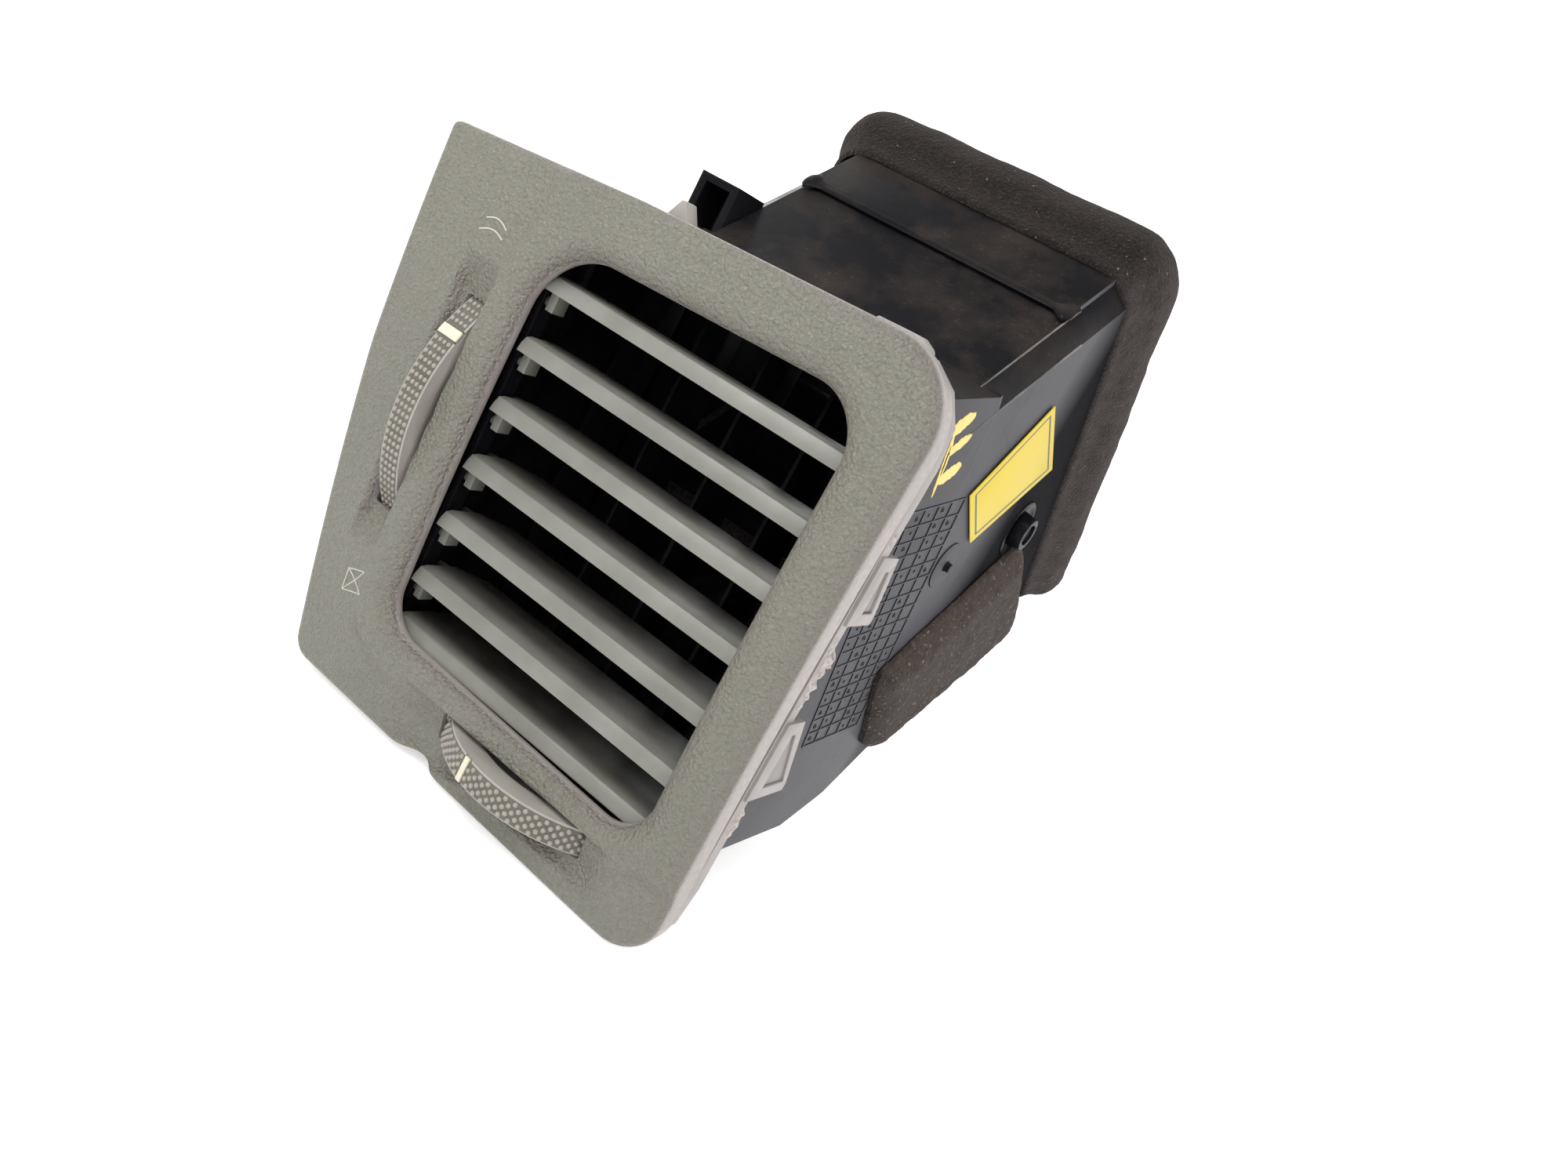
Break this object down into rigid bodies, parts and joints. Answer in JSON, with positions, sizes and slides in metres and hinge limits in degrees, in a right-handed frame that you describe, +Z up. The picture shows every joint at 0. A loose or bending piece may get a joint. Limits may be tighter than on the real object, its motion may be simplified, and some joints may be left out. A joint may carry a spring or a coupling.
{
  "type": "dashboard air vent",
  "caption": "Dashboard air vent with tilting louvres, wheel-steered vanes behind them, a wheel-driven shut-off damper and a rising duct with a foam gasket.",
  "frame": {"origin": "centre of the air opening in the plane where the mounting frame seats on the dashboard", "axes": "+X to the right as the occupant sees the face, +Y into the dashboard along the seat's normal, +Z up; the duct climbs at 37 degrees from +Y towards +Z"},
  "size_m": [0.1121, 0.1473, 0.153],
  "materials": {
    "bezel_grain": "warm grey leather-grained moulding with a soft sheen",
    "frame_pale": "smooth pale grey moulding",
    "louvre_grey": "satin warm grey, fine spark texture",
    "wheel_grey": "knurled satin grey, worn at the tips",
    "mark_white": "printed ivory bar",
    "housing_black": "semi-gloss black moulding with a film of dust",
    "inner_black": "plain black moulding",
    "vane_black": "satin black moulding",
    "axle_steel": "plain steel pin",
    "foam_dark": "dark brown-grey open foam, dusty",
    "label_yellow": "plain printed sticker with a dark border"
  },
  "bodies": {
    "root": {"bezel": "bezel_grain", "mounting_frame": "frame_pale", "duct_housing": "housing_black", "louvre_pivot_strip_left": "inner_black", "louvre_pivot_strip_right": "inner_black", "sill_blade": "louvre_grey", "vane_top_rail": "inner_black", "damper_wheel_axle": "axle_steel", "direction_wheel_axle": "axle_steel", "damper_bush_left": "inner_black", "damper_bush_right": "housing_black", "rear_foam_gasket": "foam_dark", "side_foam_pad": "foam_dark", "blank_label": "label_yellow"},
    "louvre_1": {"louvre_1": "louvre_grey"},
    "louvre_2": {"louvre_2": "louvre_grey"},
    "louvre_3": {"louvre_3": "louvre_grey"},
    "louvre_4": {"louvre_4": "louvre_grey"},
    "louvre_5": {"louvre_5": "louvre_grey"},
    "louvre_6": {"louvre_6": "louvre_grey"},
    "louvre_link": {"louvre_link_bar": "inner_black"},
    "direction_wheel": {"direction_thumbwheel": "wheel_grey", "direction_index_mark": "mark_white"},
    "vane_1": {"vane_1": "vane_black"},
    "vane_2": {"vane_2": "vane_black"},
    "vane_3": {"vane_3": "vane_black"},
    "vane_4": {"vane_4": "vane_black"},
    "vane_5": {"vane_5": "vane_black"},
    "direction_link": {"direction_link_bar": "inner_black"},
    "damper_wheel": {"damper_thumbwheel": "wheel_grey", "damper_index_mark": "mark_white"},
    "damper": {"damper_door": "inner_black", "damper_seal_front": "foam_dark", "damper_seal_rear": "foam_dark", "damper_shaft": "inner_black", "damper_gear": "inner_black"}
  },
  "joints": [
    {"name": "louvre_4_tilt", "type": "hinge", "parent": "root", "child": "louvre_4", "pos_m": [0, 0.001, -0.0045], "axis": [1, 0, 0], "range_deg": [-22, 22]},
    {"name": "louvre_1_tilt", "type": "hinge", "parent": "root", "child": "louvre_1", "pos_m": [0, 0.001, 0.0315], "axis": [1, 0, 0], "range_deg": [-22, 22]},
    {"name": "louvre_2_tilt", "type": "hinge", "parent": "root", "child": "louvre_2", "pos_m": [0, 0.001, 0.0195], "axis": [1, 0, 0], "range_deg": [-22, 22]},
    {"name": "louvre_3_tilt", "type": "hinge", "parent": "root", "child": "louvre_3", "pos_m": [0, 0.001, 0.0075], "axis": [1, 0, 0], "range_deg": [-22, 22]},
    {"name": "louvre_5_tilt", "type": "hinge", "parent": "root", "child": "louvre_5", "pos_m": [0, 0.001, -0.0165], "axis": [1, 0, 0], "range_deg": [-22, 22]},
    {"name": "louvre_6_tilt", "type": "hinge", "parent": "root", "child": "louvre_6", "pos_m": [0, 0.001, -0.0285], "axis": [1, 0, 0], "range_deg": [-22, 22]},
    {"name": "louvre_link_swing", "type": "hinge", "parent": "louvre_4", "child": "louvre_link", "pos_m": [0, -0.004, -0.0082], "axis": [1, 0, 0], "range_deg": [-22, 22]},
    {"name": "direction_wheel_turn", "type": "hinge", "parent": "root", "child": "direction_wheel", "pos_m": [0.0075, 0.0085, 0], "axis": [0, 0, 1], "range_deg": [-26, 26]},
    {"name": "vane_1_turn", "type": "hinge", "parent": "root", "child": "vane_1", "pos_m": [-0.0311, 0.0245, 0], "axis": [0, 0, 1], "range_deg": [-26, 26]},
    {"name": "vane_2_turn", "type": "hinge", "parent": "root", "child": "vane_2", "pos_m": [-0.0159, 0.0245, 0], "axis": [0, 0, 1], "range_deg": [-26, 26]},
    {"name": "vane_3_turn", "type": "hinge", "parent": "root", "child": "vane_3", "pos_m": [-0.0007, 0.0245, 0], "axis": [0, 0, 1], "range_deg": [-26, 26]},
    {"name": "vane_4_turn", "type": "hinge", "parent": "root", "child": "vane_4", "pos_m": [0.0145, 0.0245, 0], "axis": [0, 0, 1], "range_deg": [-26, 26]},
    {"name": "vane_5_turn", "type": "hinge", "parent": "root", "child": "vane_5", "pos_m": [0.0297, 0.0245, 0], "axis": [0, 0, 1], "range_deg": [-26, 26]},
    {"name": "direction_link_swing", "type": "hinge", "parent": "direction_wheel", "child": "direction_link", "pos_m": [0.0075, 0.0165, 0], "axis": [0, 0, 1], "range_deg": [-26, 26]},
    {"name": "damper_wheel_turn", "type": "hinge", "parent": "root", "child": "damper_wheel", "pos_m": [0, 0.02, 0.0004], "axis": [1, 0, 0], "range_deg": [0, 52]},
    {"name": "damper_turn", "type": "hinge", "parent": "root", "child": "damper", "pos_m": [0, 0.0785, 0.0276], "axis": [1, 0, 0], "range_deg": [-88, 0]}
  ],
  "couplings": [
    {"joint": "louvre_1_tilt", "follows": "louvre_4_tilt", "ratio": 1},
    {"joint": "louvre_2_tilt", "follows": "louvre_4_tilt", "ratio": 1},
    {"joint": "louvre_3_tilt", "follows": "louvre_4_tilt", "ratio": 1},
    {"joint": "louvre_5_tilt", "follows": "louvre_4_tilt", "ratio": 1},
    {"joint": "louvre_6_tilt", "follows": "louvre_4_tilt", "ratio": 1},
    {"joint": "louvre_link_swing", "follows": "louvre_4_tilt", "ratio": -1},
    {"joint": "vane_1_turn", "follows": "vane_3_turn", "ratio": 1},
    {"joint": "vane_2_turn", "follows": "vane_3_turn", "ratio": 1},
    {"joint": "vane_4_turn", "follows": "vane_3_turn", "ratio": 1},
    {"joint": "vane_5_turn", "follows": "vane_3_turn", "ratio": 1},
    {"joint": "direction_wheel_turn", "follows": "vane_3_turn", "ratio": 1},
    {"joint": "direction_link_swing", "follows": "vane_3_turn", "ratio": -1},
    {"joint": "damper_turn", "follows": "damper_wheel_turn", "ratio": -1.6875}
  ]
}
